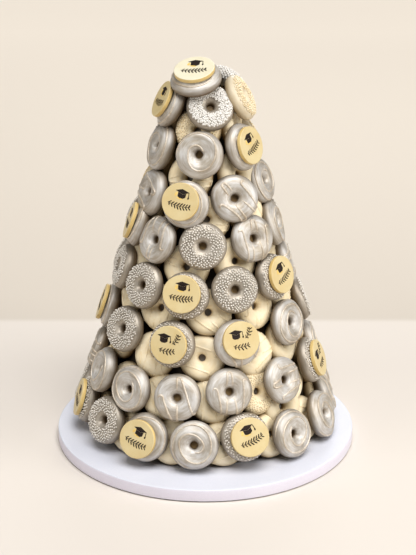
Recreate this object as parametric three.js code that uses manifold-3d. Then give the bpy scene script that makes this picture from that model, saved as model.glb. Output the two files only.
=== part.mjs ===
// Chocolate ring tower: a cone of ring chocolates in two layers, silver over ivory, on a round white board.
// Some silver rings carry a flat ivory disc. Millimetres, +Z up, +X right, the front faces -Y,
// and the origin is under the middle of the board.
import * as THREE from "three";
import { mergeVertices } from "three/addons/utils/BufferGeometryUtils.js";
import Module from "manifold-3d";

const wasm = await Module();
wasm.setup();

// Board
const BOARD_DIAMETER = 305;
const BOARD_THICKNESS = 13.5;
const BOARD_CHAMFER = 1;
const BOARD_FOOT_HEIGHT = 1;
const BOARD_FOOT_INSET = 4;
const BOARD_SIDES = 56;

// Cone that the middles of the silver rings lie on, measured from the top of the board
const CONE_FOOT_RADIUS = 133.6;
const CONE_SLOPE = 0.296;
const CONE_SET_BACK = 14;
const IVORY_INSET = 15;
const CORE_INSET = 18;
const CORE_TOP = 345;
const CORE_SIDES = 16;
const REST_GAP = 0.3;

// Ring chocolates and the discs on them
const RING_DIAMETER = 46.5;
const RING_HOLE = 8;
const RING_THICKNESS = 16;
const RING_TILT = 19.5;
const RING_BACK_RADIUS = 20.5;
const RING_BACK_EDGE = -6.4;
const RING_WAIST = 1.2;
const SILVER_DIMPLE_FLOOR = -0.8;
const SILVER_SIDES = 10;
const IVORY_DIMPLE_FLOOR = 1.5;
const IVORY_SIDES = 7;
const DISC_DIAMETER = 37;
const DISC_THICKNESS = 4;
const DISC_SIDES = 14;
const DISC_GAP = 0.4;

// How far a hand-laid ring strays: turn and nod in degrees, in or out in millimetres
const STRAY_TURN = 5;
const STRAY_NOD = 2.5;
const STRAY_DEPTH = 0.8;

// Silver tiers from the board up: height of the ring middles, bearings of the rings seen from the front
// (0 is the front, positive to the right) with how far each sits above that height, how far it is turned from
// facing straight out and, where it differs, its tilt and how far inside the cone it sits, the number of rings
// that close the tier behind, and which rings carry a disc.
const SILVER_TIERS = [
  {
    height: 28,
    front: [-76, -52, -28, -5, 18, 42, 67, 88],
    lift: [4, 3, 1, 0, 5, -3, -3, 1],
    turn: [-4],
    inset: [2.3, 0, 0, 0, 0, 0, 0, 2.4],
    back: 7,
    discs: [0, 2, 4, 9, 12],
    scale: 1.04,
  },
  {
    height: 74,
    front: [-95, -65, -40, -14, 12, 43, 71, 98],
    lift: [0, -1, -4, -3, 3, 3, 5, 4],
    turn: [0, -5],
    inset: [2.5, 0, 0, 0, 0, 0, 0, 3],
    back: 5,
    discs: [6, 9, 11],
  },
  {
    height: 122,
    front: [-94, -54, -19, 18, 57, 96],
    lift: [0, 0, -1, 0, 5, 6],
    turn: [0, 9],
    inset: [2.5],
    back: 4,
    discs: [0, 2, 3, 7, 9],
  },
  {
    height: 171,
    front: [-78, -45, -13, 20, 53, 89],
    lift: [2, -2, -4, 1, 3, 3],
    turn: [-1, 0, 0, -13, 0, 8],
    inset: [1.2, 0, 0, 0, 0, 2.4],
    back: 5,
    discs: [2, 4, 7, 9],
  },
  {
    height: 215,
    front: [-72, -41, -2, 40, 81],
    lift: [5, -1, -1, 1, 2],
    turn: [-20, -11, 0, -6],
    inset: [1.2, 0, 0, 0, 2.4],
    back: 4,
    discs: [0, 6],
  },
  {
    height: 254,
    front: [-63, -18, 29, 86],
    lift: [0, -2, 2, 5],
    turn: [-3.5, 0, -20, -14],
    inset: [1.1, 0, 0, 2.5, 0, 0, 6],
    back: 3,
    discs: [1, 5],
  },
  { height: 298, front: [-70, -7, 51], lift: [-1, 0, 3], turn: [-3], inset: [1, 0, 0, 3], back: 3, discs: [2, 4] },
  {
    height: 338,
    front: [-76, 10.5, 79, 141],
    lift: [0, 1, 6, 9],
    turn: [0, -2.5, 5],
    tilt: [27, 34, 27, 27, 27],
    inset: [0, 8.4, -1.4],
    back: 1,
    discs: [0],
  },
];

// Discs laid off the middle of their ring: how far to the right and up, seen from the front of the ring
const DISC_SHIFTS = {
  disc_2: [-3, -1.8],
  disc_3: [2.3, 0],
  disc_11: [1.4, 3],
  disc_14: [-2.4, 1.8],
  disc_15: [2.8, 0.7],
  disc_20: [-2.9, 1.6],
  disc_24: [-2.5, 0.5],
};

// Ivory tiers under them: evenly spaced rings, the first at the bearing given by turn, and those among them
// that sit off their even place as [degrees round, up]
const IVORY_TIERS = [
  { height: 23, count: 14, turn: 9, moved: {} },
  { height: 64, count: 13, turn: 4, moved: { 1: [-1.8, 3], 2: [-5.5, 1.5] } },
  { height: 104, count: 11, turn: -2, moved: { 2: [-5.5, 0], 10: [1.3, -2] } },
  { height: 147, count: 10, turn: 2, moved: {} },
  { height: 193, count: 8, turn: -18, moved: { 0: [1.4, -4] } },
  { height: 234, count: 7, turn: 1, moved: {} },
  { height: 272, count: 5, turn: -22, moved: {} },
  { height: 316, count: 4, turn: -16, moved: {} },
  { height: 46, count: 1, turn: 45, moved: {} },
];

// The ring that lies on top of the cone, tipped to the front and to the left
const TOP_RING = { x: -9, y: -14, height: 364.5, scale: 1.08, tipFront: 19, tipLeft: 8 };

const RING_OUTER = RING_DIAMETER / 2;
const RING_CREST = (RING_OUTER + RING_HOLE / 2) / 2;
const RING_HALF = RING_THICKNESS / 2;
const MERGE_DISTANCE = 1e-3;
const SLIVER_SIZE = 0.01;

const radians = THREE.MathUtils.degToRad;

// A repeatable stray between -1 and 1 for ring n
function stray(n, salt) {
  const wave = Math.sin(n * 12.9898 + salt * 78.233) * 43758.5453;
  return (wave - Math.floor(wave)) * 2 - 1;
}

// A profile of [radius, height] points turned about +Z into a closed geometry
function turned(profile, sides) {
  const points = profile.map(([radius, height]) => new THREE.Vector2(radius, height));
  const geometry = new THREE.LatheGeometry(points, sides);
  geometry.rotateX(Math.PI / 2);
  return geometry;
}

function solidOf(geometry) {
  const bare = geometry.clone();
  bare.deleteAttribute("normal");
  bare.deleteAttribute("uv");
  const merged = mergeVertices(bare, MERGE_DISTANCE);
  const vertProperties = merged.attributes.position.array;
  const triVerts = new Uint32Array(merged.index.array);
  return new wasm.Manifold(new wasm.Mesh({ numProp: 3, vertProperties, triVerts }));
}

function geometryOf(solid) {
  const { vertProperties, triVerts } = solid.getMesh();
  const geometry = new THREE.BufferGeometry();
  geometry.setAttribute("position", new THREE.BufferAttribute(vertProperties, 3));
  geometry.setIndex(new THREE.BufferAttribute(triVerts, 1));
  return geometry;
}

// The largest shell alone: hollows that the joining sealed are filled
function outerShell(solid) {
  return solid.decompose().reduce((most, shell) => (shell.volume() > most.volume() ? shell : most));
}

// Bearings of a silver tier: those of the front, then the gap behind them shared evenly
function tierBearings({ front, back }) {
  const last = front[front.length - 1];
  const step = (front[0] + 360 - last) / (back + 1);
  const behind = Array.from({ length: back }, (_, k) => last + step * (k + 1));
  return [...front, ...behind];
}

// Where ring n sits: its own +Z looks out of the cone, its middle is inset from the cone's surface
function ringPlace(n, { bearing, height, inset = 0, turn = 0, tilt = RING_TILT, scale = 1 }) {
  const angle = radians(bearing);
  const radius = CONE_FOOT_RADIUS - CONE_SLOPE * height - inset + STRAY_DEPTH * stray(n, 3);
  const place = new THREE.Matrix4().makeTranslation(
    radius * Math.sin(angle),
    CONE_SET_BACK - radius * Math.cos(angle),
    BOARD_THICKNESS + height,
  );
  const facing = radians(bearing + turn + STRAY_TURN * stray(n, 1));
  const nod = radians(90 - tilt - STRAY_NOD * stray(n, 2));
  place.multiply(new THREE.Matrix4().makeRotationZ(facing));
  place.multiply(new THREE.Matrix4().makeRotationX(nod));
  return place.scale(new THREE.Vector3(scale, scale, scale));
}

function topPlace() {
  const { x, y, height, scale, tipFront, tipLeft } = TOP_RING;
  const place = new THREE.Matrix4().makeTranslation(x, CONE_SET_BACK + y, BOARD_THICKNESS + height);
  place.multiply(new THREE.Matrix4().makeRotationX(radians(tipFront)));
  place.multiply(new THREE.Matrix4().makeRotationY(radians(-tipLeft)));
  return place.scale(new THREE.Vector3(scale, scale, scale));
}

// Every silver ring in order from the board up, the top ring last
function silverRings() {
  const rings = [];
  for (const tier of SILVER_TIERS) {
    tierBearings(tier).forEach((bearing, k) => {
      const place = ringPlace(rings.length, {
        bearing,
        height: tier.height + (tier.lift[k] ?? 0),
        inset: tier.inset[k],
        turn: tier.turn[k],
        tilt: tier.tilt?.[k],
        scale: tier.scale,
      });
      rings.push({ place, disc: tier.discs.includes(k) });
    });
  }
  rings.push({ place: topPlace(), disc: true });
  return rings;
}

function ivoryRings(firstNumber) {
  const places = [];
  for (const { height, count, turn, moved } of IVORY_TIERS) {
    for (let k = 0; k < count; k += 1) {
      const [round, up] = moved[k] ?? [0, 0];
      const bearing = turn + (360 / count) * k + round;
      places.push(ringPlace(firstNumber + places.length, { bearing, height: height + up, inset: IVORY_INSET }));
    }
  }
  return places;
}

// Silver ring: a low crowned back, widest just in front of its middle, a crest and a dimple for the hole
function silverGeometry() {
  return turned(
    [
      [0, -RING_HALF],
      [RING_BACK_RADIUS, RING_BACK_EDGE],
      [RING_OUTER, RING_WAIST],
      [RING_CREST, RING_HALF],
      [0, SILVER_DIMPLE_FLOOR],
    ],
    SILVER_SIDES,
  );
}

// Ivory ring: the same front, with a back that runs to a point inside the core
function ivoryGeometry() {
  return turned(
    [
      [0, -RING_HALF],
      [RING_OUTER, RING_WAIST],
      [RING_CREST, RING_HALF],
      [0, IVORY_DIMPLE_FLOOR],
    ],
    IVORY_SIDES,
  );
}

function coreGeometry() {
  const surface = (height) => CONE_FOOT_RADIUS - CONE_SLOPE * height - CORE_INSET;
  const geometry = turned(
    [
      [0, REST_GAP],
      [surface(REST_GAP), REST_GAP],
      [surface(CORE_TOP), CORE_TOP],
      [0, CORE_TOP],
    ],
    CORE_SIDES,
  );
  geometry.translate(0, CONE_SET_BACK, BOARD_THICKNESS);
  return geometry;
}

// Board: a thin foot set back under the edge, then the thick round with a broken upper edge
function boardGeometry() {
  const outer = BOARD_DIAMETER / 2;
  const foot = outer - BOARD_FOOT_INSET;
  return turned(
    [
      [0, 0],
      [foot, 0],
      [foot, BOARD_FOOT_HEIGHT],
      [outer, BOARD_FOOT_HEIGHT],
      [outer, BOARD_THICKNESS - BOARD_CHAMFER],
      [outer - BOARD_CHAMFER, BOARD_THICKNESS],
      [0, BOARD_THICKNESS],
    ],
    BOARD_SIDES,
  );
}

// Disc, its back just clear of the crest of the ring that carries it
function discGeometry() {
  const outer = DISC_DIAMETER / 2;
  const back = RING_HALF + DISC_GAP;
  const face = back + DISC_THICKNESS;
  return turned(
    [
      [0, back],
      [outer, back],
      [outer, face],
      [0, face],
    ],
    DISC_SIDES,
  );
}

const boardMaterial = new THREE.MeshStandardMaterial({ color: 0xf2f1f7, roughness: 0.45, metalness: 0 });
const silverMaterial = new THREE.MeshStandardMaterial({ color: 0xc8c3bc, roughness: 0.35, metalness: 0.5 });
const discMaterial = new THREE.MeshStandardMaterial({ color: 0xf3e0a4, roughness: 0.5, metalness: 0 });

const tower = new THREE.Group();

function addMesh(name, geometry, material) {
  const mesh = new THREE.Mesh(geometry, material);
  mesh.name = name;
  tower.add(mesh);
  return mesh;
}

const silver = silverRings();
const silverRing = silverGeometry();
const ivoryRing = ivoryGeometry();
const heap = [
  solidOf(coreGeometry()),
  ...silver.map(({ place }) => solidOf(silverRing.clone().applyMatrix4(place))),
  ...ivoryRings(silver.length).map((place) => solidOf(ivoryRing.clone().applyMatrix4(place))),
];
const joinedHeap = outerShell(wasm.Manifold.union(heap)).asOriginal();

addMesh("board", boardGeometry(), boardMaterial);
addMesh("ring_tower", geometryOf(joinedHeap.simplify(SLIVER_SIZE)), silverMaterial);
silver
  .filter(({ disc }) => disc)
  .forEach(({ place }, k) => {
    const name = `disc_${k + 1}`;
    const [right, up] = DISC_SHIFTS[name] ?? [0, 0];
    addMesh(name, discGeometry().translate(right, up, 0), discMaterial).applyMatrix4(place);
  });

export default tower;
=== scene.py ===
"""Looks of the chocolate ring tower: silver ring chocolates over ivory ones, in a cone on a board.

Metres, +Z up, the shown front faces -Y. A ring is shaped about its own +Z, which looks out of the
cone, and a matrix applied to its mesh puts it in place. Rings of one finish are joined in one piece.
"""

import math

import bmesh
import bpy
from mathutils import Matrix, Vector, noise


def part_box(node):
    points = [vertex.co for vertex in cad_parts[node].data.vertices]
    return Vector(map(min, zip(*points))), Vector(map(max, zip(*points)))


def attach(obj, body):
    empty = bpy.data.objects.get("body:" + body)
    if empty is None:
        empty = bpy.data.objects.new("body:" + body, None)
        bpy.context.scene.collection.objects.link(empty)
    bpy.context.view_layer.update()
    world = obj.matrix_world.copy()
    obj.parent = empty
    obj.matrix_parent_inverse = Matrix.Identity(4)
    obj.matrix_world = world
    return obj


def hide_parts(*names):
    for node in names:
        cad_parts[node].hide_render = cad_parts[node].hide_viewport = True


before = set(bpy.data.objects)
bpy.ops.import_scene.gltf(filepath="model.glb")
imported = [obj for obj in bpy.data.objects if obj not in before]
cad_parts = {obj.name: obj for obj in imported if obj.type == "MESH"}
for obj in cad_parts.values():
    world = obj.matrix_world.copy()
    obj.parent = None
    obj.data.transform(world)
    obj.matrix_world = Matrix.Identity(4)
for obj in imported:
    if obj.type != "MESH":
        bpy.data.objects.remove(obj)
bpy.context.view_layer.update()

MM = 0.001
TURN = 2 * math.pi

# Cone, rings and discs, as in the solids
BOARD_LOW, BOARD_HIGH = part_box("board")
CONE_FOOT_RADIUS = 133.6 * MM
CONE_SLOPE = 0.296
CONE_SET_BACK = 14 * MM
IVORY_INSET = 15 * MM
RING_OUTER = 23.25 * MM
RING_HOLE = 4 * MM
RING_HALF = 8 * MM
RING_TILT = 19.5
TUBE_MIDDLE = (RING_OUTER + RING_HOLE) / 2
TUBE_REACH = (RING_OUTER - RING_HOLE) / 2
BACK_FLATTENING = 0.85
DISC_RADIUS = 18.5 * MM
DISC_THICKNESS = 4 * MM
DISC_GAP = 0.4 * MM
STRAY_TURN = 5
STRAY_NOD = 2.5
STRAY_DEPTH = 0.8 * MM

# Tiers of outer rings from the board up, in mm and degrees: height above the board, bearings of the
# rings in front, and how many more close the tier behind. Where it differs from the usual, how far
# each ring is lifted above that height, turned from facing straight out, tilted back and inset into
# the cone, and the scale of the tier's rings. Each ring's finish is a letter: w swirled, v, h or x
# drizzled upright, level or slanting, g grained, s grained in white, a the same all round, and
# i cream with ivory grains. A capital carries a disc.
OUTER_TIERS = (
    {
        "height": 28,
        "front": (-76, -52, -28, -5, 18, 42, 67, 88),
        "lift": (4, 3, 1, 0, 5, -3, -3, 1),
        "turn": (-4,),
        "inset": (2.3, 0, 0, 0, 0, 0, 0, 2.4),
        "behind": 7,
        "finish": "GgWwGwwvwGvgVwg",
        "scale": 1.04,
    },
    {
        "height": 74,
        "front": (-95, -65, -40, -14, 12, 43, 71, 98),
        "lift": (0, -1, -4, -3, 3, 3, 5, 4),
        "turn": (0, -5),
        "inset": (2.5, 0, 0, 0, 0, 0, 0, 3),
        "behind": 5,
        "finish": "hwwvvhGwgWxGw",
    },
    {
        "height": 122,
        "front": (-94, -54, -19, 18, 57, 96),
        "lift": (0, 0, -1, 0, 5, 6),
        "turn": (0, 9),
        "inset": (2.5,),
        "behind": 4,
        "finish": "WgGVwgvGwX",
    },
    {
        "height": 171,
        "front": (-78, -45, -13, 20, 53, 89),
        "lift": (2, -2, -4, 1, 3, 3),
        "turn": (-1, 0, 0, -13, 0, 8),
        "inset": (1.2, 0, 0, 0, 0, 2.4),
        "behind": 5,
        "finish": "ggGgGhgVgWg",
    },
    {
        "height": 215,
        "front": (-72, -41, -2, 40, 81),
        "lift": (5, -1, -1, 1, 2),
        "turn": (-20, -11, 0, -6),
        "inset": (1.2, 0, 0, 0, 2.4),
        "behind": 4,
        "finish": "WvgvwgHwg",
    },
    {
        "height": 254,
        "front": (-63, -18, 29, 86),
        "lift": (0, -2, 2, 5),
        "turn": (-3.5, 0, -20, -14),
        "inset": (1.1, 0, 0, 2.5, 0, 0, 6),
        "behind": 3,
        "finish": "hWxwgVi",
    },
    {
        "height": 298,
        "front": (-70, -7, 51),
        "lift": (-1, 0, 3),
        "turn": (-3,),
        "inset": (1, 0, 0, 3),
        "behind": 3,
        "finish": "wwXiWg",
    },
    {
        "height": 338,
        "front": (-76, 10.5, 79, 141),
        "lift": (0, 1, 6, 9),
        "turn": (0, -2.5, 5),
        "tilt": (27, 34, 27, 27, 27),
        "inset": (0, 8.4, -1.4),
        "behind": 1,
        "finish": "Wsiaw",
    },
)
TOP_RING_SCALE = 1.08
TOP_RING_MIDDLE = Vector((-9 * MM, -14 * MM, 364.5 * MM))
TOP_RING_TIP = (19, -8)
TOP_RING_FINISH = "W"

# Discs laid off the middle of their ring, in mm to the right and up, and how far some are rolled
DISC_SHIFTS = {
    2: (-3, -1.8),
    3: (2.3, 0),
    11: (1.4, 3),
    14: (-2.4, 1.8),
    15: (2.8, 0.7),
    20: (-2.9, 1.6),
    24: (-2.5, 0.5),
}
DISC_ROLLS = {2: -15, 3: 20, 6: 8, 10: -3, 11: 0, 14: -4, 15: 18, 20: -10, 22: 18, 25: -8}
DISC_ROLL_STRAY = 14
TWO_SPRIG_DISCS = (4, 6, 10, 11, 13, 17, 21)
# The top disc, which faces up, gets a paler chocolate as painted light
TOP_DISC_PAINTED_LIGHT = 25

# Tiers of ivory rings under them: height in mm, rings, bearing of the first, finishes that repeat
# round the tier (d drizzled, g grained, p plain), and the rings that sit off their even place as
# degrees round and mm up
IVORY_TIERS = (
    (23, 14, 9, "dpdg", {}),
    (64, 13, 4, "dgdp", {1: (-1.8, 3), 2: (-5.5, 1.5)}),
    (104, 11, -2, "ddppg", {2: (-5.5, 0), 10: (1.3, -2)}),
    (147, 10, 2, "ddd", {}),
    (193, 8, -18, "dpd", {0: (1.4, -4)}),
    (234, 7, 1, "dd", {}),
    (272, 5, -22, "dp", {}),
    (316, 4, -16, "gdg", {}),
    (46, 1, 45, "p", {}),
)

# What the repeatable draws decide, each with a number of its own, and the wave that they read
DRAW_TURN = 1
DRAW_NOD = 2
DRAW_DEPTH = 3
DRAW_HAND = 9
DRAW_RIDGES = 10
DRAW_WINDINGS = 11
DRAW_LINE_START = 12
DRAW_LINE_END = 13
DRAW_LINE_ANGLE = 14
DRAW_WOBBLE = 15
DRAW_LAY = 16
DRAW_STROKES = 17
DRAW_HAIRPIN = 18
DRAW_WAY = 19
DRAW_SWAY = 20
DRAW_IVORY_LAY = 29
DRAW_GRAIN_SECTION = 41
DRAW_GRAIN_AROUND = 42
DRAW_GRAIN_SPIN = 44
DRAW_GRAIN_LENGTH = 45
DRAW_GRAIN_WIDTH = 46
DRAW_ROLL = 51
WAVE_STEP = 12.9898
WAVE_SHIFT = 78.233
WAVE_HEIGHT = 43758.5453


def stray(n, draw):
    """A repeatable stray between -1 and 1 for ring n: the fraction of a steep wave."""
    wave = math.sin(n * WAVE_STEP + draw * WAVE_SHIFT) * WAVE_HEIGHT
    return (wave - math.floor(wave)) * 2 - 1


def share(n, draw):
    """A repeatable draw between 0 and 1."""
    return (stray(n, draw) + 1) / 2


def between(limits, n, draw):
    """A repeatable draw between two limits."""
    low, high = limits
    return low + (high - low) * share(n, draw)


def mesh_of(bm, name):
    mesh = bpy.data.meshes.new(name)
    bm.to_mesh(mesh)
    bm.free()
    return mesh


def join(joined, mesh):
    """Adds a mesh to a piece in the making and drops the loose one."""
    joined.from_mesh(mesh)
    bpy.data.meshes.remove(mesh)


def smooth_faces(bm):
    for face in bm.faces:
        face.smooth = True


# Places of the rings


def turned(degrees, axis):
    return Matrix.Rotation(math.radians(degrees), 4, axis)


def ring_place(n, bearing, height, inset=0.0, turn=0.0, tilt=RING_TILT, scale=1.0):
    """The matrix of ring n: its own +Z looks out of the cone, its own +Y up the cone."""
    angle = math.radians(bearing)
    radius = CONE_FOOT_RADIUS - CONE_SLOPE * height - inset + STRAY_DEPTH * stray(n, DRAW_DEPTH)
    x = radius * math.sin(angle)
    y = CONE_SET_BACK - radius * math.cos(angle)
    facing = turned(bearing + turn + STRAY_TURN * stray(n, DRAW_TURN), "Z")
    nod = turned(90 - tilt - STRAY_NOD * stray(n, DRAW_NOD), "X")
    middle = Matrix.Translation((x, y, BOARD_HIGH.z + height))
    return middle @ facing @ nod @ Matrix.Scale(scale, 4)


def top_place():
    front, side = TOP_RING_TIP
    middle = Matrix.Translation(TOP_RING_MIDDLE + Vector((0, CONE_SET_BACK, BOARD_HIGH.z)))
    return middle @ turned(front, "X") @ turned(side, "Y") @ Matrix.Scale(TOP_RING_SCALE, 4)


def tier_bearings(front, behind):
    """Bearings of a tier's rings: those in front, then those that close it at an even step."""
    step = (front[0] + 360 - front[-1]) / (behind + 1)
    return list(front) + [front[-1] + step * (k + 1) for k in range(behind)]


def listed(values, k, usual=0):
    return values[k] if k < len(values) else usual


def outer_rings():
    """Every outer ring as (number, matrix, finish), from the board up, the top ring last."""
    rings = []
    for tier in OUTER_TIERS:
        for k, bearing in enumerate(tier_bearings(tier["front"], tier["behind"])):
            n = len(rings)
            place = ring_place(
                n,
                bearing,
                (tier["height"] + listed(tier["lift"], k)) * MM,
                inset=listed(tier["inset"], k) * MM,
                turn=listed(tier["turn"], k),
                tilt=listed(tier.get("tilt", ()), k, RING_TILT),
                scale=tier.get("scale", 1.0),
            )
            rings.append((n, place, tier["finish"][k]))
    rings.append((len(rings), top_place(), TOP_RING_FINISH))
    return rings


def ivory_rings(first):
    """Every ivory ring under them as (number, matrix, finish), numbered on from the outer ones."""
    rings = []
    for height, count, bearing, finishes, moved in IVORY_TIERS:
        for k in range(count):
            n = first + len(rings)
            around, up = moved.get(k, (0, 0))
            even = bearing + 360 / count * k
            place = ring_place(n, even + around, (height + up) * MM, IVORY_INSET)
            rings.append((n, place, finishes[k % len(finishes)]))
    return rings


# Shape of one ring

SECTION_FULLNESS = 2.1
HOLE_RADIUS = 3.3 * MM
HOLE_REACH = TUBE_MIDDLE - HOLE_RADIUS
FACE_LIMIT = 0.995
UNEVEN_DEPTH = 0.45 * MM
UNEVEN_SIZE = 1.3
UNEVEN_FLATNESS = 0.6
UNEVEN_STEPS = (3.7, 1.9, 0.7)
SWIRL_DEPTH = 0.75 * MM
SWIRL_BANDS = 2.3
SWIRL_FADE = 0.75
FINE_STEPS = (36, 56)
PLAIN_STEPS = (24, 52)
IVORY_STEPS = (24, 44)
MERGE_DISTANCE = 0.01 * MM


def hand_of(n):
    """Which way ring n is swirled."""
    return 1 if stray(n, DRAW_HAND) > 0 else -1


def swirl_relief(n, around, section):
    """Soft spiral ridges of a swirled ring, fading out at its back."""
    start = TURN * share(n, DRAW_RIDGES)
    wave = math.sin(SWIRL_BANDS * (section - math.pi / 2) * 2 + hand_of(n) * around + start)
    front = max(0.0, math.sin(section) * SWIRL_FADE + 1 - SWIRL_FADE)
    return SWIRL_DEPTH * wave * front


def filled_out(part):
    """A sine or cosine made fuller, which turns the oval section of a ring a little squarer."""
    return math.copysign(abs(part) ** (2 / SECTION_FULLNESS), part)


def on_ring(n, around, section, lift=0.0, swirled=False):
    """A point of ring n: around its axis, then round its section, with the crest at 90 degrees."""
    flat = math.sin(section) * UNEVEN_FLATNESS
    spot = Vector((math.cos(around), math.sin(around), flat)) * UNEVEN_SIZE
    swell = UNEVEN_DEPTH * noise.noise(spot + Vector([n * step for step in UNEVEN_STEPS]))
    if swirled:
        swell += swirl_relief(n, around, section)
    half = TUBE_REACH if math.cos(section) > 0 else HOLE_REACH
    reach = TUBE_MIDDLE + (half + swell + lift) * filled_out(math.cos(section))
    rise = (RING_HALF + swell + lift) * filled_out(math.sin(section))
    if rise < 0:
        rise *= BACK_FLATTENING
    return Vector((reach * math.cos(around), reach * math.sin(around), rise))


def face_section(far):
    """Where round the section the ring's face is, at a distance from its axis."""
    half = TUBE_REACH if far > TUBE_MIDDLE else HOLE_REACH
    part = max(-1.0, min(FACE_LIMIT, (far - TUBE_MIDDLE) / half))
    return math.acos(math.copysign(abs(part) ** (SECTION_FULLNESS / 2), part))


def eased(value, low, high):
    """A smooth step from 0 at low to 1 at high."""
    t = max(0.0, min(1.0, (value - low) / (high - low)))
    return t * t * (3 - 2 * t)


def ring_blank(section_steps, around_steps):
    """A plain ring: its section stood up beside the axis and spun round it."""
    bm = bmesh.new()
    bmesh.ops.create_circle(bm, segments=section_steps, radius=1)
    bmesh.ops.scale(bm, vec=(TUBE_REACH, RING_HALF, 1), verts=bm.verts)
    bmesh.ops.rotate(bm, matrix=Matrix.Rotation(math.pi / 2, 3, "X"), verts=bm.verts)
    bmesh.ops.translate(bm, vec=(TUBE_MIDDLE, 0, 0), verts=bm.verts)
    bmesh.ops.spin(
        bm,
        geom=bm.verts[:] + bm.edges[:],
        cent=(0, 0, 0),
        axis=(0, 0, 1),
        dvec=(0, 0, 0),
        angle=TURN,
        steps=around_steps,
        use_merge=True,
    )
    bmesh.ops.remove_doubles(bm, verts=bm.verts, dist=MERGE_DISTANCE)
    bmesh.ops.recalc_face_normals(bm, faces=bm.faces)
    smooth_faces(bm)
    return mesh_of(bm, "ring blank")


# Where painted shade is full and where it ends at the rim, and where it starts and is full in the hole,
# as angles from the crest. On the silver rings the lustre also thins out there; on the ivory and
# cream rings it is painted shade only.
SILVER_SPRAY_AND_SHADE = (-2.1, -0.9, 0.85, 1.5)
IVORY_PAINTED_SHADE = (-1.9, -0.6, 1.1, 1.7)
CREAM_PAINTED_SHADE = (-2.8, -0.9, 1.1, 1.7)
WORKED_STRETCH = 3
WORKED_STEP = 5


def add_ring(joined, blank, n, place, spray_and_shade=SILVER_SPRAY_AND_SHADE, swirled=False, slot=0):
    """Shapes a copy of the blank as ring n and joins it to the others.

    Its points keep how they were worked, for streaks that follow the ring, and a share that falls from
    1 to 0 towards the rim and into the hole, where painted shade is full.
    """
    rim_none, rim_full, hole_full, hole_none = spray_and_shade
    bm = bmesh.new()
    bm.from_mesh(blank)
    worked = bm.verts.layers.float_vector.new("worked")
    spray_and_painted_shade = bm.verts.layers.float.new("spray_and_painted_shade")
    for vert in bm.verts:
        x, y, z = vert.co
        around = math.atan2(y, x)
        section = math.atan2(z / RING_HALF, (math.hypot(x, y) - TUBE_MIDDLE) / TUBE_REACH)
        from_crest = (section - math.pi / 2 + math.pi) % TURN - math.pi
        streak = Vector((math.cos(around), math.sin(around), from_crest * WORKED_STRETCH))
        vert[worked] = streak + Vector((n * WORKED_STEP, 0, 0))
        # Painted shade: the share drops at the rim, where the rings shade each other, and in the hole.
        at_rim = eased(from_crest, rim_none, rim_full)
        vert[spray_and_painted_shade] = at_rim * (1 - eased(from_crest, hole_full, hole_none))
        vert.co = place @ on_ring(n, around, section, swirled=swirled)
    for face in bm.faces:
        face.material_index = slot
    join(joined, mesh_of(bm, "ring"))


HOLE_FLOOR = -2 * MM
HOLE_FLOOR_DEPTH = 3 * MM
HOLE_FLOOR_RADIUS = 4.3 * MM
HOLE_FLOOR_SIDES = 12


def add_hole_floor(joined, place, slot):
    """Closes a ring's hole below its crest with what shows through it."""
    sunk = place @ Matrix.Translation((0, 0, HOLE_FLOOR - HOLE_FLOOR_DEPTH / 2))
    made = bmesh.ops.create_cone(
        joined,
        cap_ends=True,
        segments=HOLE_FLOOR_SIDES,
        radius1=HOLE_FLOOR_RADIUS,
        radius2=HOLE_FLOOR_RADIUS,
        depth=HOLE_FLOOR_DEPTH,
        matrix=sunk,
    )
    for face in {face for vert in made["verts"] for face in vert.link_faces}:
        face.material_index = slot


# Piped lines on the rings

DRIZZLE_RADIUS = 1.25 * MM
DRIZZLE_LIFT = -0.4 * MM
DRIZZLE_ANGLES = {"v": 0, "h": 90, "x": 52}
DRIZZLE_LAY_STRAY = 14
DRIZZLE_WIDTH = 15.5 * MM
IVORY_DRIZZLE_RADIUS = 1.6 * MM
IVORY_DRIZZLE_LIFT = -1.0 * MM
FEWEST_STROKES = 3
MORE_STROKES = 1.6
STROKE_STEPS = 24
STROKE_SWAY = 1.1 * MM
HAIRPIN_STEPS = 9
HAIRPIN_HALF = 2.3 * MM
HAIRPIN_EDGE = 18 * MM
HAIRPIN_REACH = (0.84, 1.0)
RIM_EDGE = 23.2 * MM
HOLE_CLEARANCE = 6 * MM
FEWEST_POINTS = 4
SWIRL_LINE_RADIUS = 1.0 * MM
SWIRL_LINE_LIFT = -0.2 * MM
SWIRL_LINE_STEPS = 120
SWIRL_LINE_WINDINGS = (1.3, 2.2)
SWIRL_LINE_START = (0.25, 0.55)
SWIRL_LINE_END = (2.0, 2.4)
WOBBLE = 0.1
WOBBLE_PACE = 2.3
THREAD_TIP = 0.35
THREAD_GROWTH = 0.2


def swirl_line(n, place):
    """One thread wound from the ring's outer side over its crest into the hole."""
    windings = between(SWIRL_LINE_WINDINGS, n, DRAW_WINDINGS)
    start = between(SWIRL_LINE_START, n, DRAW_LINE_START)
    end = between(SWIRL_LINE_END, n, DRAW_LINE_END)
    points = []
    for k in range(SWIRL_LINE_STEPS):
        t = k / (SWIRL_LINE_STEPS - 1)
        around = TURN * share(n, DRAW_LINE_ANGLE) - hand_of(n) * TURN * windings * t
        wobble = WOBBLE * math.sin(WOBBLE_PACE * around + TURN * share(n, DRAW_WOBBLE))
        section = start + (end - start) * t + wobble
        points.append(place @ on_ring(n, around, section, SWIRL_LINE_LIFT, True))
    return points


def stroke(start, end, sway):
    """Points of a stroke between its ends, bowed a little to one side."""
    points = []
    for k in range(1, STROKE_STEPS):
        t = k / STROKE_STEPS
        across = start[0] + (end[0] - start[0]) * t + sway * math.sin(math.pi * t)
        points.append((across, start[1] + (end[1] - start[1]) * t))
    return points


def hairpin(across, along, way):
    """Points of a half turn at the end of a stroke."""
    points = []
    for k in range(HAIRPIN_STEPS + 1):
        bend = math.pi * k / HAIRPIN_STEPS
        out = way * HAIRPIN_HALF * math.sin(bend)
        points.append((across - HAIRPIN_HALF * math.cos(bend), along + out))
    return points


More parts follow.
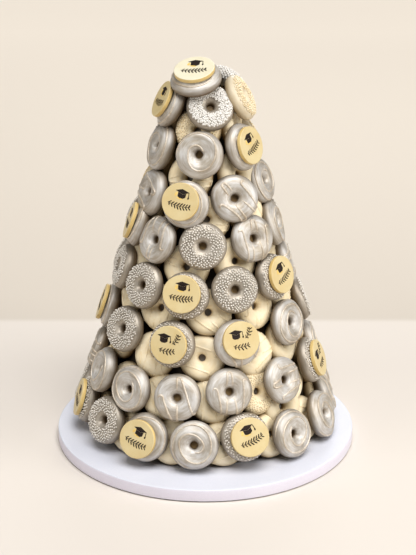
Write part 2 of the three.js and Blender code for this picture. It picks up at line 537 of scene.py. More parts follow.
def drizzle_path(n):
    """Strokes to and fro, with hairpins on the face at one side and at the rim on the other."""
    strokes = FEWEST_STROKES + round(MORE_STROKES * share(n, DRAW_STROKES))
    way = 1 if stray(n, DRAW_WAY) > 0 else -1
    path = []
    for k in range(strokes + 1):
        across = DRIZZLE_WIDTH * (2 * k / strokes - 1)
        edge = RIM_EDGE
        if k % 2 == 0:
            edge = HAIRPIN_EDGE * between(HAIRPIN_REACH, n + k, DRAW_HAIRPIN)
        along = way * math.sqrt(max(edge**2 - across**2, HAIRPIN_HALF**2))
        if path:
            sway = STROKE_SWAY * stray(n + k, DRAW_SWAY)
            path += stroke(path[-1], (across - HAIRPIN_HALF, along), sway)
        path += hairpin(across, along, way)
        way = -way
    return path


def drizzle_lines(n, place, degrees, lift):
    """A thread laid to and fro across the ring's face, broken where it falls into the hole."""
    lay = math.radians(degrees + DRIZZLE_LAY_STRAY * stray(n, DRAW_LAY))
    lines = [[]]
    for across, along in drizzle_path(n):
        far = math.hypot(across, along)
        if far < HOLE_CLEARANCE:
            lines.append([])
            continue
        around = math.atan2(along, across) + lay
        lines[-1].append(place @ on_ring(n, around, face_section(far), lift))
    return [line for line in lines if len(line) >= FEWEST_POINTS]


def add_threads(joined, lines, radius, slot):
    """Joins round threads that follow the lines and thin out at both ends."""
    curve = bpy.data.curves.new("threads", "CURVE")
    curve.dimensions = "3D"
    curve.bevel_depth = radius
    curve.bevel_resolution = 1
    curve.use_fill_caps = True
    for points in lines:
        spline = curve.splines.new("POLY")
        last = len(points) - 1
        spline.points.add(last)
        for k, point in enumerate(points):
            spline.points[k].co = (*point, 1)
            spline.points[k].radius = min(1, THREAD_TIP + THREAD_GROWTH * min(k, last - k))
    holder = bpy.data.objects.new("threads", curve)
    bpy.context.collection.objects.link(holder)
    depsgraph = bpy.context.evaluated_depsgraph_get()
    threads = bpy.data.meshes.new_from_object(holder.evaluated_get(depsgraph))
    bpy.data.objects.remove(holder)
    for polygon in threads.polygons:
        polygon.use_smooth = True
        polygon.material_index = slot
    join(joined, threads)


# Grains on the rings

GRAIN_SIDES = 6
GRAIN_BANDS = 4
GRAIN_LIFT = 0.3 * MM
GRAIN_LENGTH = (0.85, 1.05)
GRAIN_WIDTH = (0.75, 0.9)
GRAIN_SLICES = 60
GRAIN_STRAY_AROUND = 0.04
GRAIN_STRAY_SECTION = 0.045
GRAIN_PROBE = 0.05
GOLDEN_TURN = math.pi * (3 - math.sqrt(5))

# Grains by a ring's letter: how many, the band of its section that they lie in, and their size
OPEN_FACE = (face_section(20.5 * MM), face_section(8.6 * MM))
ALL_ROUND = (-1.2, face_section(8.6 * MM))
UNDER_DISC = (face_section(21.3 * MM), face_section(16.5 * MM))
SILVER_GRAINS = {"g": (215, OPEN_FACE, 1.2 * MM), "G": (112, UNDER_DISC, 1.12 * MM)}
WHITE_GRAINS = {"s": (360, OPEN_FACE, 1.5 * MM), "a": (520, ALL_ROUND, 1.4 * MM)}
IVORY_GRAINS = {"g": (240, OPEN_FACE, 0.8 * MM), "i": (240, OPEN_FACE, 1.2 * MM)}


def grain_blank():
    bm = bmesh.new()
    bmesh.ops.create_uvsphere(bm, u_segments=GRAIN_SIDES, v_segments=GRAIN_BANDS, radius=1)
    smooth_faces(bm)
    return mesh_of(bm, "grain blank")


def grain_spots(n, count, low, high):
    """Evenly spread (around, section) spots on a ring: steps of equal area, each a golden turn on."""
    widths = []
    for k in range(GRAIN_SLICES):
        section = low + (high - low) * (k + 0.5) / GRAIN_SLICES
        widths.append(TUBE_MIDDLE + TUBE_REACH * math.cos(section))
    total = sum(widths)
    spots = []
    passed = 0.0
    k = 0
    for grain in range(count):
        wanted = total * (grain + 0.5) / count
        while passed + widths[k] < wanted:
            passed += widths[k]
            k += 1
        section = low + (high - low) * (k + (wanted - passed) / widths[k]) / GRAIN_SLICES
        section += GRAIN_STRAY_SECTION * stray(n + grain, DRAW_GRAIN_SECTION)
        around = GOLDEN_TURN * grain + GRAIN_STRAY_AROUND * stray(n + grain, DRAW_GRAIN_AROUND)
        spots.append((around, section))
    return spots


def grain_place(n, k, around, section, size):
    """The matrix of grain k on ring n: it lies on the surface, spun its own way."""
    middle = on_ring(n, around, section, GRAIN_LIFT)
    ahead = (on_ring(n, around + GRAIN_PROBE, section, GRAIN_LIFT) - middle).normalized()
    across = (on_ring(n, around, section + GRAIN_PROBE, GRAIN_LIFT) - middle).normalized()
    out = ahead.cross(across).normalized()
    spin = TURN * share(n + k, DRAW_GRAIN_SPIN)
    long_side = ahead * math.cos(spin) + across * math.sin(spin)
    short_side = out.cross(long_side)
    length = size * between(GRAIN_LENGTH, n + k, DRAW_GRAIN_LENGTH)
    width = size * between(GRAIN_WIDTH, n + k, DRAW_GRAIN_WIDTH)
    sides = Matrix((long_side * length, short_side * width, out * width)).transposed()
    return Matrix.Translation(middle) @ sides.to_4x4()


def add_grains(joined, blank, n, place, count, band, size):
    """Scatters copies of the blank grain over a band of ring n's section."""
    for k, (around, section) in enumerate(grain_spots(n, count, *band)):
        grain = blank.copy()
        grain.transform(place @ grain_place(n, k, around, section, size))
        join(joined, grain)


# Colours and materials


def colour(red, green, blue):
    """A colour as the eye reads it, 0 to 255, in linear values."""
    parts = [part / 255 for part in (red, green, blue)]
    return tuple(p / 12.92 if p <= 0.04045 else ((p + 0.055) / 1.055) ** 2.4 for p in parts) + (1.0,)


def add_node(tree, kind, inputs=None, **settings):
    """A node with its settings made and its inputs set or linked."""
    made = tree.nodes.new("ShaderNode" + kind)
    for name, value in settings.items():
        setattr(made, name, value)
    for socket, value in (inputs or {}).items():
        if isinstance(value, bpy.types.NodeSocket):
            tree.links.new(value, made.inputs[socket])
        else:
            made.inputs[socket].default_value = value
    return made


# Colour sockets of a mix node
MIX_A, MIX_B, MIX_RESULT = 6, 7, 2


def mixed(tree, blend, first, second):
    """A colour between two others."""
    inputs = {0: blend, MIX_A: first, MIX_B: second}
    return add_node(tree, "Mix", inputs, data_type="RGBA").outputs[MIX_RESULT]


HAND_FINISH_INPUTS = (
    ("Worked", "NodeSocketVector"),
    ("Light", "NodeSocketColor"),
    ("Dark", "NodeSocketColor"),
    ("Streak Size", "NodeSocketFloat"),
    ("Patch Size", "NodeSocketFloat"),
    ("Rough Low", "NodeSocketFloat"),
    ("Rough High", "NodeSocketFloat"),
)
HAND_FINISH_OUTPUTS = (
    ("Colour", "NodeSocketColor"),
    ("Roughness", "NodeSocketFloat"),
    ("Height", "NodeSocketFloat"),
)
STREAK_DETAIL = 3.0
PATCH_DETAIL = 2.0
TINT_RANGE = {"From Min": 0.75, "From Max": 1.25}
ROUGH_RANGE = {"From Min": 0.3, "From Max": 0.7}


def hand_finish_group():
    """Streaks that follow how a surface was worked and cloudy patches, for colour, gloss and height."""
    group = bpy.data.node_groups.new("hand finish", "ShaderNodeTree")
    for name, kind in HAND_FINISH_INPUTS:
        group.interface.new_socket(name, in_out="INPUT", socket_type=kind)
    for name, kind in HAND_FINISH_OUTPUTS:
        group.interface.new_socket(name, in_out="OUTPUT", socket_type=kind)
    given = group.nodes.new("NodeGroupInput").outputs
    streaked = {"Vector": given["Worked"], "Scale": given["Streak Size"], "Detail": STREAK_DETAIL}
    streaks = add_node(group, "TexNoise", streaked).outputs["Fac"]
    place = add_node(group, "TexCoord").outputs["Object"]
    clouded = {"Vector": place, "Scale": given["Patch Size"], "Detail": PATCH_DETAIL}
    patches = add_node(group, "TexNoise", clouded).outputs["Fac"]
    both = add_node(group, "Math", {0: streaks, 1: patches}, operation="ADD").outputs[0]
    blend = add_node(group, "MapRange", {"Value": both, **TINT_RANGE}).outputs["Result"]
    gloss = {"Value": patches, **ROUGH_RANGE}
    gloss["To Min"], gloss["To Max"] = given["Rough Low"], given["Rough High"]
    rough = add_node(group, "MapRange", gloss).outputs["Result"]
    out = group.nodes.new("NodeGroupOutput").inputs
    group.links.new(mixed(group, blend, given["Dark"], given["Light"]), out["Colour"])
    group.links.new(rough, out["Roughness"])
    group.links.new(streaks, out["Height"])
    return group


HAND_FINISH = hand_finish_group()


def empty_material(name):
    material = bpy.data.materials.new(name)
    material.use_nodes = True
    material.node_tree.nodes.clear()
    return material, material.node_tree


def finished(
    name, light, dark, streak, patch, rough, bump, on_worked=False, painted_shade=None, metal=0.0, **plain
):
    """A material with the hand finish, mixed towards a colour of painted shade where the ring's share
    is low, if one is given.

    Plain values go straight on the shader's own sockets.
    """
    material, tree = empty_material(name)
    if on_worked:
        worked = add_node(tree, "Attribute", attribute_name="worked").outputs["Vector"]
    else:
        worked = add_node(tree, "TexCoord").outputs["Object"]
    rough_low, rough_high = rough
    given = {
        "Worked": worked,
        "Light": light,
        "Dark": dark,
        "Streak Size": streak,
        "Patch Size": patch,
        "Rough Low": rough_low,
        "Rough High": rough_high,
    }
    made = add_node(tree, "Group", given, node_tree=HAND_FINISH).outputs
    relief = add_node(tree, "Bump", {"Height": made["Height"], "Strength": 1.0, "Distance": bump})
    linked = {
        "Base Color": made["Colour"],
        "Roughness": made["Roughness"],
        "Normal": relief.outputs["Normal"],
    }
    # Painted shade at rims and in holes; the metal lustre falls with the same share.
    if painted_shade:
        spray_and_painted_shade = add_node(tree, "Attribute", attribute_name="spray_and_painted_shade").outputs["Fac"]
        linked["Base Color"] = mixed(tree, spray_and_painted_shade, painted_shade, made["Colour"])
        if metal:
            lustre = add_node(tree, "Math", {0: spray_and_painted_shade, 1: metal}, operation="MULTIPLY")
            linked["Metallic"] = lustre.outputs[0]
    surface = add_node(tree, "BsdfPrincipled", linked)
    for socket, value in plain.items():
        surface.inputs[socket.replace("_", " ")].default_value = value
    add_node(tree, "OutputMaterial", {"Surface": surface.outputs["BSDF"]})
    return material


# Painted shade for the rims and holes of the silver rings
SILVER_PAINTED_SHADE = colour(108, 92, 70)

silver = finished(
    "pearl silver",
    light=colour(215, 213, 210),
    dark=colour(179, 170, 156),
    streak=1.6,
    patch=60.0,
    rough=(0.52, 0.63),
    bump=0.07 * MM,
    on_worked=True,
    painted_shade=SILVER_PAINTED_SHADE,
    metal=0.56,
    Coat_Weight=0.05,
    Coat_Roughness=0.3,
)
# Painted shade: the grained rings' body is darker than the smooth silver, so that the gaps between the
# grains look shaded.
grained_silver_painted_shade = finished(
    "grained silver with painted shade",
    light=colour(192, 185, 174),
    dark=colour(168, 159, 146),
    streak=1.6,
    patch=60.0,
    rough=(0.45, 0.55),
    bump=0.07 * MM,
    on_worked=True,
    painted_shade=SILVER_PAINTED_SHADE,
    metal=0.6,
)
champagne = finished(
    "champagne thread",
    light=colour(222, 214, 202),
    dark=colour(192, 179, 160),
    streak=400.0,
    patch=60.0,
    rough=(0.44, 0.54),
    bump=0.05 * MM,
    Metallic=0.42,
)
silver_sugar = finished(
    "silver sugar",
    light=colour(228, 224, 217),
    dark=colour(206, 200, 190),
    streak=900.0,
    patch=300.0,
    rough=(0.34, 0.44),
    bump=0.02 * MM,
    Metallic=0.35,
    Coat_Weight=0.2,
)
white_sugar = finished(
    "white sugar",
    light=colour(234, 232, 228),
    dark=colour(216, 212, 205),
    streak=900.0,
    patch=300.0,
    rough=(0.4, 0.5),
    bump=0.02 * MM,
)
ivory = finished(
    "ivory chocolate",
    light=colour(248, 236, 208),
    dark=colour(243, 226, 190),
    streak=1.3,
    patch=70.0,
    rough=(0.4, 0.5),
    bump=0.07 * MM,
    on_worked=True,
    # painted shade for the rims and holes of the ivory rings
    painted_shade=colour(162, 134, 90),
    Specular_IOR_Level=0.4,
)
cream = finished(
    "pearl cream",
    light=colour(221, 211, 190),
    dark=colour(208, 193, 163),
    streak=1.3,
    patch=70.0,
    rough=(0.4, 0.5),
    bump=0.07 * MM,
    on_worked=True,
    # painted shade for the rims and holes of the cream rings
    painted_shade=colour(150, 126, 86),
    Specular_IOR_Level=0.4,
)
ivory_thread = finished(
    "ivory thread",
    light=colour(248, 236, 209),
    dark=colour(238, 219, 179),
    streak=400.0,
    patch=70.0,
    rough=(0.38, 0.5),
    bump=0.05 * MM,
    Specular_IOR_Level=0.4,
)
ivory_sugar = finished(
    "ivory sugar",
    light=colour(240, 230, 207),
    dark=colour(227, 207, 167),
    streak=900.0,
    patch=300.0,
    rough=(0.3, 0.45),
    bump=0.02 * MM,
)
disc_ivory = finished(
    "disc chocolate",
    light=colour(216, 200, 157),
    dark=colour(211, 191, 143),
    streak=90.0,
    patch=50.0,
    rough=(0.36, 0.46),
    bump=0.06 * MM,
    Specular_IOR_Level=0.45,
)
# Painted light: the disc chocolate made paler for the top disc, which faces up into the light.
disc_painted_light = finished(
    "disc chocolate with painted light",
    light=colour(229, 223, 199),
    dark=colour(225, 217, 188),
    streak=90.0,
    patch=50.0,
    rough=(0.36, 0.46),
    bump=0.06 * MM,
    Specular_IOR_Level=0.45,
)
disc_edge = finished(
    "disc edge",
    light=colour(220, 195, 136),
    dark=colour(211, 183, 118),
    streak=90.0,
    patch=50.0,
    rough=(0.4, 0.5),
    bump=0.06 * MM,
)
cocoa = finished(
    "cocoa print",
    light=colour(40, 24, 15),
    dark=colour(26, 15, 9),
    streak=600.0,
    patch=200.0,
    rough=(0.5, 0.65),
    bump=0.03 * MM,
)
gold = finished(
    "gold tint",
    light=colour(236, 208, 134),
    dark=colour(226, 194, 114),
    streak=600.0,
    patch=200.0,
    rough=(0.35, 0.5),
    bump=0.03 * MM,
)
# Painted shade: the core is dark brown so that the gaps where it shows look shaded.
core_painted_shade = finished(
    "core in painted shade",
    light=colour(86, 76, 63),
    dark=colour(60, 52, 42),
    streak=120.0,
    patch=40.0,
    rough=(0.5, 0.6),
    bump=0.8 * MM,
)
core_foil = finished(
    "core foil",
    light=colour(150, 146, 140),
    dark=colour(122, 118, 111),
    streak=120.0,
    patch=40.0,
    rough=(0.4, 0.5),
    bump=0.1 * MM,
)
shaded_ivory = finished(
    "shaded ivory",
    light=colour(172, 146, 104),
    dark=colour(142, 117, 79),
    streak=120.0,
    patch=40.0,
    rough=(0.45, 0.55),
    bump=0.1 * MM,
)
board_white = finished(
    "board covering",
    light=colour(215, 217, 226),
    dark=colour(211, 213, 223),
    streak=700.0,
    patch=18.0,
    rough=(0.42, 0.5),
    bump=0.03 * MM,
)
# Painted light: the board's side, which gets less light than its top, is made paler than the top.
board_side_painted_light = finished(
    "board side with painted light",
    light=colour(227, 224, 235),
    dark=colour(222, 218, 230),
    streak=700.0,
    patch=18.0,
    rough=(0.45, 0.55),
    bump=0.03 * MM,
)


# Pieces


def put_piece(name, bm, materials, node):
    """Makes a piece of the object: it rides on the one body and stands for a node of the solids."""
    mesh = mesh_of(bm, name)
    for material in materials:
        mesh.materials.append(material)
    piece = bpy.data.objects.new(name, mesh)
    bpy.context.collection.objects.link(piece)
    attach(piece, "root")
    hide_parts(node)


# Places in the list of a piece's materials, after the chocolate at 0
THREAD_SLOT, WHITE_SLOT, HOLE_SLOT = 1, 1, 2
IVORY_HOLE_SLOT, CREAM_SLOT = 1, 2


def make_silver_rings(rings, grain):
    """The outer rings in silver, one piece for each finish, with the grains in pieces of their own."""
    swirled, drizzled, grained = bmesh.new(), bmesh.new(), bmesh.new()
    piece_of = {"w": swirled, "g": grained, "s": grained, "a": grained}
    piece_of.update(dict.fromkeys(DRIZZLE_ANGLES, drizzled))
    silver_grains, white_grains = bmesh.new(), bmesh.new()
    fine, plain = ring_blank(*FINE_STEPS), ring_blank(*PLAIN_STEPS)
    swirls, drizzles = [], []
    for n, place, letter in rings:
        finish = letter.lower()
        joined = piece_of[finish]
        if finish == letter:
            add_hole_floor(joined, place, HOLE_SLOT)
        if finish == "w":
            add_ring(joined, fine, n, place, swirled=True)
            swirls.append(swirl_line(n, place))
        elif finish in DRIZZLE_ANGLES:
            add_ring(joined, plain, n, place)
            drizzles += drizzle_lines(n, place, DRIZZLE_ANGLES[finish], DRIZZLE_LIFT)
        elif letter in WHITE_GRAINS:
            add_ring(joined, plain, n, place, slot=WHITE_SLOT if letter == "a" else 0)
            add_grains(white_grains, grain, n, place, *WHITE_GRAINS[letter])
        else:
            add_ring(joined, plain, n, place)
            add_grains(silver_grains, grain, n, place, *SILVER_GRAINS[letter])
    add_threads(swirled, swirls, SWIRL_LINE_RADIUS, THREAD_SLOT)
    add_threads(drizzled, drizzles, DRIZZLE_RADIUS, THREAD_SLOT)
    made = (
        ("silver_swirled_rings", swirled, (silver, champagne, shaded_ivory)),
        ("silver_drizzled_rings", drizzled, (silver, champagne, shaded_ivory)),
        ("silver_grained_rings", grained, (grained_silver_painted_shade, white_sugar, shaded_ivory)),
        ("silver_grains", silver_grains, (silver_sugar,)),
        ("white_grains", white_grains, (white_sugar,)),
    )
    for name, bm, materials in made:
        put_piece(name, bm, materials, "ring_tower")


def make_ivory_rings(rings, grain):
    """The ivory rings and the outer ones in cream, with threads and grains in pieces of their own."""
    joined, drizzle, grains = bmesh.new(), bmesh.new(), bmesh.new()
    blank = ring_blank(*IVORY_STEPS)
    lines = []
    for n, place, finish in rings:
        if finish == "i":
            add_ring(joined, blank, n, place, CREAM_PAINTED_SHADE, slot=CREAM_SLOT)
        else:
            add_ring(joined, blank, n, place, IVORY_PAINTED_SHADE)
        add_hole_floor(joined, place, IVORY_HOLE_SLOT)
        if finish == "d":
            lines += drizzle_lines(n, place, 360 * share(n, DRAW_IVORY_LAY), IVORY_DRIZZLE_LIFT)
        elif finish in IVORY_GRAINS:
            add_grains(grains, grain, n, place, *IVORY_GRAINS[finish])
    add_threads(drizzle, lines, IVORY_DRIZZLE_RADIUS, 0)
    made = (
        ("ivory_rings", joined, (ivory, core_foil, cream)),
        ("ivory_drizzle", drizzle, (ivory_thread,)),
        ("ivory_grains", grains, (ivory_sugar,)),
    )
    for name, bm, materials in made:
        put_piece(name, bm, materials, "ring_tower")


CORE_INSET = 20 * MM
CORE_TOP = 352 * MM
CORE_TIP = 3 * MM
CORE_GAP = 0.3 * MM
CORE_SIDES = 64
CORE_CUTS = 40
LEVEL_WITHIN = 0.1 * MM


def is_level(edge):
    low, high = edge.verts
    return abs(low.co.z - high.co.z) < LEVEL_WITHIN


def make_core():
    """The wrapped cone inside, which shows only through gaps, painted dark brown as the shade in them.
    """
    bm = bmesh.new()
    foot = CONE_FOOT_RADIUS - CORE_INSET
    bmesh.ops.create_cone(
        bm,
        cap_ends=True,
        segments=CORE_SIDES,
        radius1=foot,
        radius2=max(foot - CONE_SLOPE * CORE_TOP, CORE_TIP),
        depth=CORE_TOP - CORE_GAP,
    )
    upright = [edge for edge in bm.edges if not is_level(edge)]
    bmesh.ops.subdivide_edges(bm, edges=upright, cuts=CORE_CUTS, use_grid_fill=True)
    middle = Vector((0, CONE_SET_BACK, BOARD_HIGH.z + (CORE_TOP + CORE_GAP) / 2))
    bmesh.ops.translate(bm, vec=middle, verts=bm.verts)
    smooth_faces(bm)
    put_piece("core_cone", bm, (core_painted_shade,), "ring_tower")


# A face that looks up or down less than this is a side
SIDE_LIMIT = 0.4


def add_slab(bm, sides, radius, low, high, rounding, rounding_steps, rim):
    """A round slab with rounded edges and a flat rim on each face."""
    older_edges, older_faces = set(bm.edges), set(bm.faces)
    bmesh.ops.create_cone(
        bm,
        cap_ends=True,
        segments=sides,
        radius1=radius,
        radius2=radius,
        depth=high - low,
        matrix=Matrix.Translation((0, 0, (low + high) / 2)),
    )
    bmesh.ops.bevel(
        bm,
        geom=[edge for edge in bm.edges if edge not in older_edges and is_level(edge)],
        offset=rounding,
        offset_type="OFFSET",
        affect="EDGES",
        segments=rounding_steps,
        profile=0.5,
        material=-1,
    )
    caps = [face for face in bm.faces if face not in older_faces and len(face.verts) > 4]
    bmesh.ops.inset_individual(bm, faces=caps, thickness=rim)


def finish_sides(bm, slot):
    """Smooths a slab and gives its sides a material of their own."""
    smooth_faces(bm)
    for face in bm.faces:
        if abs(face.normal.z) < SIDE_LIMIT:
            face.material_index = slot


# Printed discs

DISC_FACE = RING_HALF + DISC_GAP + DISC_THICKNESS
DISC_SIDES = 64
DISC_BEVEL = 0.7 * MM
DISC_BEVEL_STEPS = 3
DISC_RIM = 0.4 * MM
PRINT_SINK = 0.05 * MM
PRINT_RELIEF = 0.14 * MM
COCOA_SLOT, GOLD_SLOT, EDGE_SLOT = 1, 2, 3
OVAL_SIDES = 10

# A student cap, in mm: outlines of its parts, and the tassel's middle, half sizes and lean
CAP_SIZE = 0.95
CAP_BODY = (
    (-4.2, 0.8),
    (-4.0, -3.6),
    (-1.6, -5.0),
    (1.8, -4.9),
    (4.3, -3.3),
    (4.4, 0.95),
    (0.8, -0.78),
)
CAP_BOARD = ((-7.4, 2.0), (-0.6, 4.6), (7.4, 2.6), (0.8, -0.6))
CAP_CORD = ((6.6, 2.4), (7.2, 2.5), (7.9, -2.0), (7.2, -2.1))
CAP_TASSEL = (7.5, -3.0, 1.3, 0.8, 80)

# A leaf sprig, with the leaves' sizes as shares of their length
STEM_STEPS = 9
STEM_HALF = 0.24
SPRIG_BOW = 1.6
FIRST_LEAF = 0.3
LEAF_LEAN = 52
LEAF_OUT = 0.56
LEAF_WIDTH = 0.15
LEAF_SHRINK = 0.3
BERRY_OUT = 0.42
BERRY_HALF = 0.42

# The two prints: gold patches as middle, half sizes and lean, the cap's middle, and each sprig's
# middle, turn, pairs of leaves, half length and leaf length
ONE_SPRIG_PRINT = {
    "gold": ((-5.6, 6.4, 2.3, 1.3, 70), (-1.6, 3.1, 3.4, 0.9, -8)),
    "cap": (0, 8),
    "sprigs": ((0, -4.4, 0, 8, 11.6, 4.4),),
}
TWO_SPRIG_PRINT = {
    "gold": (),
    "cap": (-5.2, 6.2),
    "sprigs": ((8, 6, 62, 4, 5.6, 3.8), (-0.5, -6.5, 0, 5, 8.2, 4.2)),
}


def shifted(place, x, y):
    """A place moved over its own face, in mm."""
    return place @ Matrix.Translation((x * MM, y * MM, 0))


def raise_print(bm, faces, place, slot):
    """Raises flat shapes of the print a little from the disc's face."""
    for face in faces:
        face.material_index = slot
    raised = bmesh.ops.extrude_face_region(bm, geom=faces)["geom"]
    up = place.to_3x3().col[2].normalized() * (PRINT_RELIEF + PRINT_SINK)
    tops = [item for item in raised if isinstance(item, bmesh.types.BMVert)]
    bmesh.ops.translate(bm, vec=up, verts=tops)


def print_shape(bm, place, outline, slot):
    corners = [bm.verts.new(place @ Vector((x * MM, y * MM, 0))) for x, y in outline]
    raise_print(bm, [bm.faces.new(corners)], place, slot)


def print_oval(bm, place, x, y, long_half, short_half, degrees, slot):
    lay = shifted(place, x, y) @ turned(degrees, "Z")
    lay = lay @ Matrix.Diagonal((long_half, short_half, 1, 1))
    made = bmesh.ops.create_circle(bm, cap_ends=True, segments=OVAL_SIDES, radius=MM, matrix=lay)
    faces = {face for vert in made["verts"] for face in vert.link_faces}
    raise_print(bm, list(faces), place, slot)


def print_cap(bm, place):
    """A plain student cap with a hanging tassel."""
    lay = place @ Matrix.Scale(CAP_SIZE, 4)
    for outline in (CAP_BODY, CAP_BOARD, CAP_CORD):
        print_shape(bm, lay, outline, COCOA_SLOT)
    print_oval(bm, lay, *CAP_TASSEL, COCOA_SLOT)


def print_sprig(bm, place, pairs, spread, leaf):
    """A sprig that bows like a garland: narrow leaves in pairs on a thin stem, a berry after each."""
    ticks = [2 * k / (STEM_STEPS - 1) - 1 for k in range(STEM_STEPS)]
    upper = [(spread * t, SPRIG_BOW * t * t + STEM_HALF) for t in ticks]
    lower = [(spread * t, SPRIG_BOW * t * t - STEM_HALF) for t in reversed(ticks)]
    print_shape(bm, place, upper + lower, COCOA_SLOT)
    for k in range(pairs):
        t = 2 * (k + FIRST_LEAF) / pairs - 1
        x, y = spread * t, SPRIG_BOW * t * t
        lean = math.degrees(math.atan(2 * SPRIG_BOW * t / spread))
        grown = leaf * (1 - LEAF_SHRINK * abs(t))
        for side in (1, -1):
            degrees = lean + side * LEAF_LEAN
            way = math.radians(degrees)
            leaf_x = x + grown * LEAF_OUT * math.cos(way)
            leaf_y = y + grown * LEAF_OUT * math.sin(way)
            width = grown * LEAF_WIDTH
            print_oval(bm, place, leaf_x, leaf_y, grown / 2, width, degrees, COCOA_SLOT)
        side = 1 if k % 2 else -1
        berry = (x + spread / pairs, y + side * grown * BERRY_OUT)
        print_oval(bm, place, *berry, BERRY_HALF, BERRY_HALF, 0, COCOA_SLOT)


def print_picture(bm, sheet, picture):
    for patch in picture["gold"]:
        print_oval(bm, sheet, *patch, GOLD_SLOT)
    print_cap(bm, shifted(sheet, *picture["cap"]))
    for x, y, degrees, pairs, spread, leaf in picture["sprigs"]:
        print_sprig(bm, shifted(sheet, x, y) @ turned(degrees, "Z"), pairs, spread, leaf)


def make_disc(k, n, place):
    """Disc k with its print, laid on ring n."""
    bm = bmesh.new()
    low = DISC_FACE - DISC_THICKNESS
    add_slab(bm, DISC_SIDES, DISC_RADIUS, low, DISC_FACE, DISC_BEVEL, DISC_BEVEL_STEPS, DISC_RIM)
    finish_sides(bm, EDGE_SLOT)
    roll = DISC_ROLLS.get(k, DISC_ROLL_STRAY * stray(n, DRAW_ROLL))
    sheet = Matrix.Translation((0, 0, DISC_FACE - PRINT_SINK)) @ turned(roll, "Z")
    print_picture(bm, sheet, TWO_SPRIG_PRINT if k in TWO_SPRIG_DISCS else ONE_SPRIG_PRINT)
    bmesh.ops.recalc_face_normals(bm, faces=bm.faces)
    bmesh.ops.transform(bm, matrix=shifted(place, *DISC_SHIFTS.get(k, (0, 0))), verts=bm.verts)
    # Painted light on the top disc.
    chocolate = disc_painted_light if k == TOP_DISC_PAINTED_LIGHT else disc_ivory
    materials = (chocolate, cocoa, gold, disc_edge)
    put_piece(f"printed_disc_{k}", bm, materials, f"disc_{k}")


BOARD_SIDES = 160
BOARD_ROUND = 1.2 * MM
BOARD_ROUND_STEPS = 4
BOARD_RIM = 0.8 * MM
BOARD_FOOT_HEIGHT = 1 * MM
BOARD_FOOT_SINK = 0.2 * MM
BOARD_FOOT_ROUND = 0.2 * MM
BOARD_FOOT_INSET = 4 * MM
SIDE_PAINTED_LIGHT_SLOT = 1


def make_board():
    """The covered round, and the thin foot set back under its edge."""
    bm = bmesh.new()
    foot_radius = BOARD_HIGH.x - BOARD_FOOT_INSET
    foot_top = BOARD_LOW.z + BOARD_FOOT_HEIGHT
    slabs = (
        (BOARD_HIGH.x, foot_top, BOARD_HIGH.z, BOARD_ROUND),
        (foot_radius, BOARD_LOW.z, foot_top + BOARD_FOOT_SINK, BOARD_FOOT_ROUND),
    )
    for radius, low, high, rounding in slabs:
        add_slab(bm, BOARD_SIDES, radius, low, high, rounding, BOARD_ROUND_STEPS, BOARD_RIM)
    # The sides, the board's and the foot's, take the paler colour of painted light.
    finish_sides(bm, SIDE_PAINTED_LIGHT_SLOT)
    put_piece("covered_board", bm, (board_white, board_side_painted_light), "board")


# Stage: floor, lights and camera

FLOOR_HALF = 6.0
FLOOR_NEAR = colour(216, 209, 201)
# Painted shade behind the backdrop line, and painted light far back
FLOOR_BEHIND_PAINTED_SHADE = colour(202, 194, 183)
FLOOR_FAR_PAINTED_LIGHT = colour(239, 230, 217)
FLOOR_ROUGHNESS = 0.8
FLOOR_GLOSS = 0.2
BACKDROP_LINE = 0.298
BACKDROP_LINE_SOFTNESS = (0.004, 0.012)
BACKDROP_FAR = 1.8


def floor_material():
    """Pale cream, with painted shade from a soft line behind the object, standing for a backdrop wall
    in less light, and painted light growing far back against the lamps' falloff.
    """
    material, tree = empty_material("pale floor")
    place = add_node(tree, "TexCoord").outputs["Object"]
    depth = add_node(tree, "SeparateXYZ", {0: place}).outputs["Y"]
    before, after = BACKDROP_LINE_SOFTNESS
    line = {"Value": depth, "From Min": BACKDROP_LINE - before, "From Max": BACKDROP_LINE + after}
    behind = add_node(tree, "MapRange", line, interpolation_type="SMOOTHSTEP").outputs["Result"]
    distance = {"Value": depth, "From Min": BACKDROP_LINE, "From Max": BACKDROP_FAR}
    far = add_node(tree, "MapRange", distance).outputs["Result"]
    backdrop = mixed(tree, far, FLOOR_BEHIND_PAINTED_SHADE, FLOOR_FAR_PAINTED_LIGHT)
    surface = add_node(
        tree,
        "BsdfPrincipled",
        {
            "Base Color": mixed(tree, behind, FLOOR_NEAR, backdrop),
            "Roughness": FLOOR_ROUGHNESS,
            "Specular IOR Level": FLOOR_GLOSS,
        },
    )
    add_node(tree, "OutputMaterial", {"Surface": surface.outputs["BSDF"]})
    return material


def make_floor():
    bm = bmesh.new()
    bmesh.ops.create_grid(bm, x_segments=1, y_segments=1, size=FLOOR_HALF)
    floor = bpy.data.objects.new("floor", mesh_of(bm, "floor"))
    floor.data.materials.append(floor_material())
    bpy.context.collection.objects.link(floor)


TOWER_MIDDLE = Vector((0, 0, 0.18))
SKY_TINT = (1.0, 0.985, 0.965, 1.0)
SKY_STRENGTH = 0.08
WINDOW_PLACE = (0.2, -0.7, 2.0)
WINDOW_SPREAD = 44
WINDOW_STRENGTH = 2.5
WINDOW_TINT = (1.0, 0.99, 0.985)

# Softboxes: name, place, width, watts, tint and spread in degrees
SOFTBOXES = (
    ("left softbox", (-1.7, -0.9, 1.3), 1.2, 10, (1.0, 0.985, 0.96), 180),
    ("right softbox", (1.9, -0.9, 1.1), 1.3, 23, (1.0, 0.975, 0.94), 180),
    ("back softbox", (0.3, 1.9, 1.1), 1.0, 1.3, (1.0, 0.985, 0.96), 70),
)


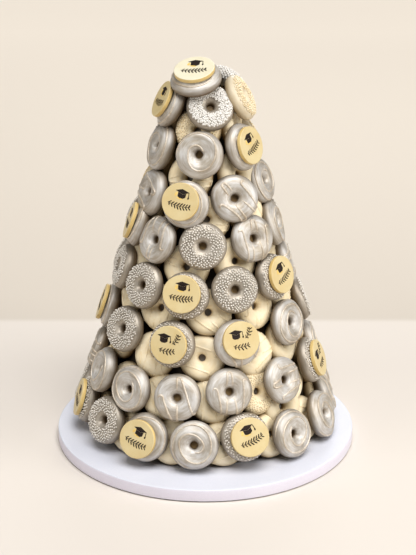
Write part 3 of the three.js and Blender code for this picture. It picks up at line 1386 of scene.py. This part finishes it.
def hang_lamp(lamp, place, strength, tint):
    """Puts a lamp at a place and turns it to the middle of the tower."""
    lamp.energy = strength
    lamp.color = tint
    light = bpy.data.objects.new(lamp.name, lamp)
    light.location = place
    light.rotation_euler = (TOWER_MIDDLE - Vector(place)).to_track_quat("-Z", "Y").to_euler()
    bpy.context.collection.objects.link(light)


def make_lights():
    """A faint sky, broad daylight from a window in front, and a softbox on three sides."""
    world = bpy.data.worlds.new("studio")
    world.use_nodes = True
    sky = world.node_tree.nodes["Background"]
    sky.inputs["Color"].default_value = SKY_TINT
    sky.inputs["Strength"].default_value = SKY_STRENGTH
    bpy.context.scene.world = world
    window = bpy.data.lights.new("window", "SUN")
    window.angle = math.radians(WINDOW_SPREAD)
    hang_lamp(window, WINDOW_PLACE, WINDOW_STRENGTH, WINDOW_TINT)
    for name, place, width, watts, tint, spread in SOFTBOXES:
        lamp = bpy.data.lights.new(name, "AREA")
        lamp.size = width
        lamp.spread = math.radians(spread)
        hang_lamp(lamp, place, watts, tint)


CAMERA_REACH = 1.8
CAMERA_ELEVATION = 26.04
CAMERA_PITCH = 21.3
CAMERA_LENS = 111.8
CAMERA_SENSOR = 36
CAMERA_SHIFT = 0.0047


def make_camera():
    """The photograph's view: a long lens from the front, above the board."""
    data = bpy.data.cameras.new("camera")
    data.lens = CAMERA_LENS
    data.sensor_width = CAMERA_SENSOR
    data.shift_x = CAMERA_SHIFT
    camera = bpy.data.objects.new("camera", data)
    lift = math.radians(CAMERA_ELEVATION)
    back, up = CAMERA_REACH * math.cos(lift), CAMERA_REACH * math.sin(lift)
    camera.location = (0, -back, BOARD_HIGH.z + up)
    camera.rotation_euler = (math.radians(90 - CAMERA_PITCH), 0, 0)
    bpy.context.collection.objects.link(camera)
    bpy.context.scene.camera = camera


make_camera()
outer = outer_rings()
blank_grain = grain_blank()
make_silver_rings([ring for ring in outer if ring[2] != "i"], blank_grain)
make_ivory_rings([ring for ring in outer if ring[2] == "i"] + ivory_rings(len(outer)), blank_grain)
make_core()
carriers = [(n, place) for n, place, letter in outer if letter.isupper()]
for number, (ring, place) in enumerate(carriers, 1):
    make_disc(number, ring, place)
make_board()
make_floor()
make_lights()
bpy.context.scene.view_settings.view_transform = "Standard"
bpy.context.scene.view_settings.look = "Medium High Contrast"
